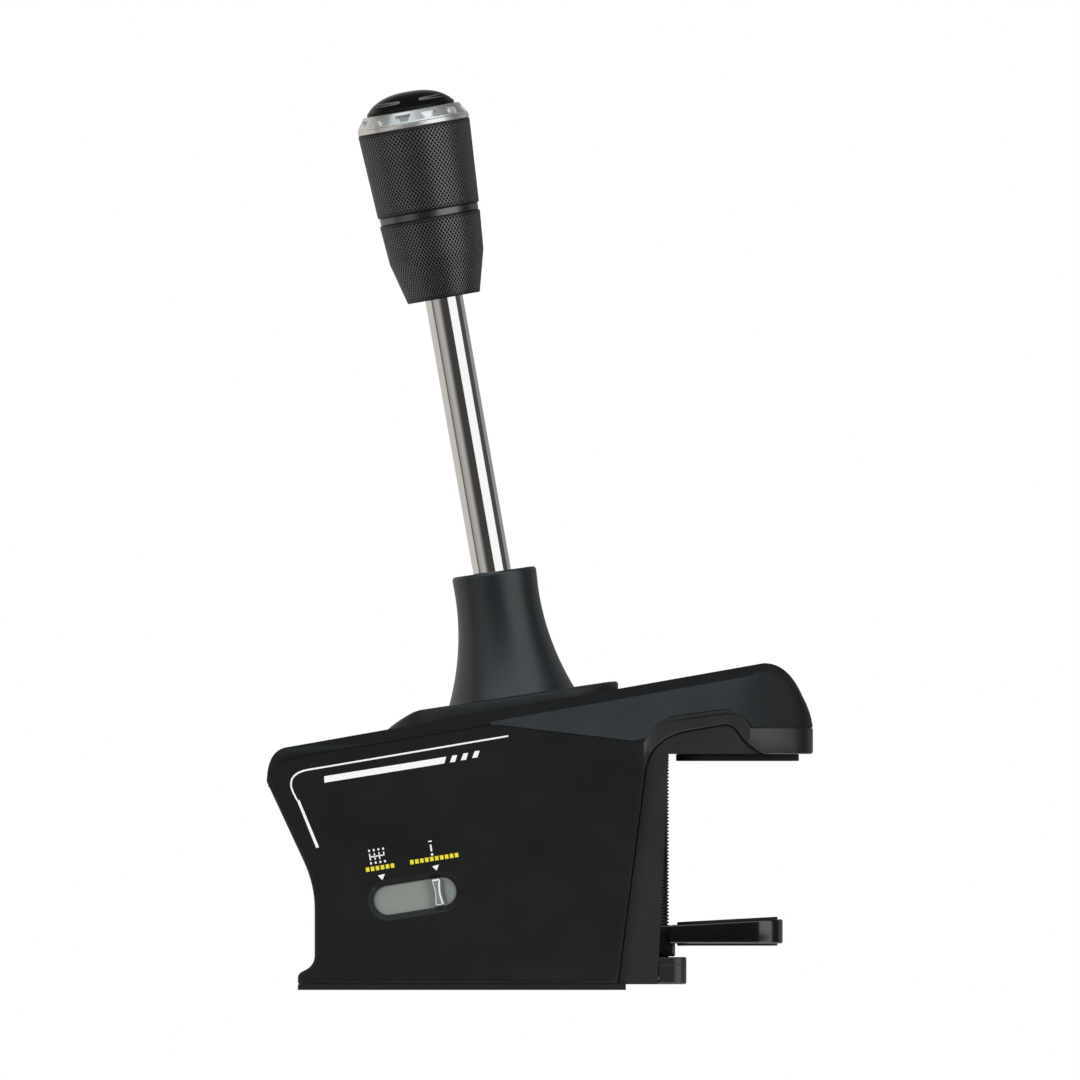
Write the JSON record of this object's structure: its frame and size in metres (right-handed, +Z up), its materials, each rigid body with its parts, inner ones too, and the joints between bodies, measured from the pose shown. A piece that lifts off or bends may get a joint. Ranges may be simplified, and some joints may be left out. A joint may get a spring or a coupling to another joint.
{
  "type": "sim racing gear shifter",
  "caption": "Desk-clamped gear shifter for racing games: leaning chrome lever with a knurled knob, wedge-shaped black housing, mode slider and a screw clamp.",
  "frame": {"origin": "on the floor under the middle of the part's box", "axes": "+X to the desk, +Z up, the mode switch faces -Y"},
  "size_m": [0.2023, 0.092, 0.334],
  "materials": {
    "black_rubber": "matt moulded rubber",
    "plate_steel": "satin grey coating",
    "cast_aluminium": "as cast",
    "housing_plastic": "fine spark texture, satin black",
    "shroud_plastic": "smooth satin black",
    "clamp_plastic": "glass-filled nylon, satin black",
    "bush_plastic": "natural acetal",
    "board": "solder mask",
    "bright_steel": "ground",
    "screw_steel": "zinc plated",
    "brass": "turned",
    "grey_plastic": "satin moulded",
    "polished_steel": "bright nickel",
    "knob_aluminium": "knurled, black anodised",
    "bright_chrome": "polished facets",
    "gloss_black": "gloss"
  },
  "bodies": {
    "base": {"rubber_sole": "black_rubber", "base_plate": "plate_steel", "main_housing": "housing_plastic", "top_cover": "housing_plastic", "bezel_plate": "housing_plastic", "clamp_frame": "clamp_plastic", "upper_jaw_pad": "black_rubber", "screw_bearing": "clamp_plastic", "bearing_cap": "clamp_plastic", "gimbal_bracket": "plate_steel", "select_bushes": "bush_plastic", "gate_plate": "plate_steel", "select_sensor_board": "board", "main_board": "board", "usb_socket": "bright_steel", "mode_board": "board", "mount_inserts": "brass", "base_screws": "screw_steel", "bracket_screws": "screw_steel", "frame_screws": "screw_steel", "cover_screws": "screw_steel", "bearing_screws": "screw_steel", "board_screws": "screw_steel"},
    "mode": {"mode_slider": "grey_plastic", "mode_tab": "grey_plastic"},
    "select": {"select_cradle": "cast_aluminium", "select_pins": "bright_steel", "select_magnet": "bright_steel", "select_spring": "bright_steel", "shift_bushes": "bush_plastic", "shift_sensor_board": "board", "shift_springs": "bright_steel"},
    "lever": {"lever_hub": "cast_aluminium", "shift_axle": "bright_steel", "shift_magnet": "bright_steel", "gate_pin": "bright_steel", "lever_shaft": "polished_steel", "lever_shroud": "shroud_plastic", "dust_dome": "housing_plastic", "knob_core": "bush_plastic", "knob_sleeve": "knob_aluminium", "knob_ring": "bright_chrome", "knob_cap": "gloss_black"},
    "screw": {"clamp_screw": "screw_steel", "thrust_ring": "screw_steel"},
    "jaw": {"lower_jaw": "clamp_plastic", "jaw_nut": "brass", "lower_jaw_pad": "black_rubber"}
  },
  "joints": [
    {"name": "select_tilt", "type": "hinge", "parent": "base", "child": "select", "pos_m": [-0.0017, 0, 0.063], "axis": [0.9848, 0, 0.1736], "range_deg": [-8, 8], "stiffness_Nm_per_rad": 15},
    {"name": "shift_tilt", "type": "hinge", "parent": "select", "child": "lever", "pos_m": [-0.0017, 0, 0.063], "axis": [0, 1, 0], "range_deg": [-10, 10], "stiffness_Nm_per_rad": 25},
    {"name": "mode_slide", "type": "slide", "parent": "base", "child": "mode", "axis": [-0.9874, 0, -0.1582], "range_m": [0, 0.0164]},
    {"name": "clamp_turn", "type": "hinge", "parent": "base", "child": "screw", "pos_m": [0.0436, 0, 0.05], "axis": [0, 0, -1], "range_deg": [0, 14400]},
    {"name": "jaw_slide", "type": "slide", "parent": "base", "child": "jaw", "axis": [0, 0, 1], "range_m": [0, 0.05]}
  ],
  "couplings": [
    {"joint": "clamp_turn", "follows": "jaw_slide", "rad_per_m": 5026.5}
  ]
}
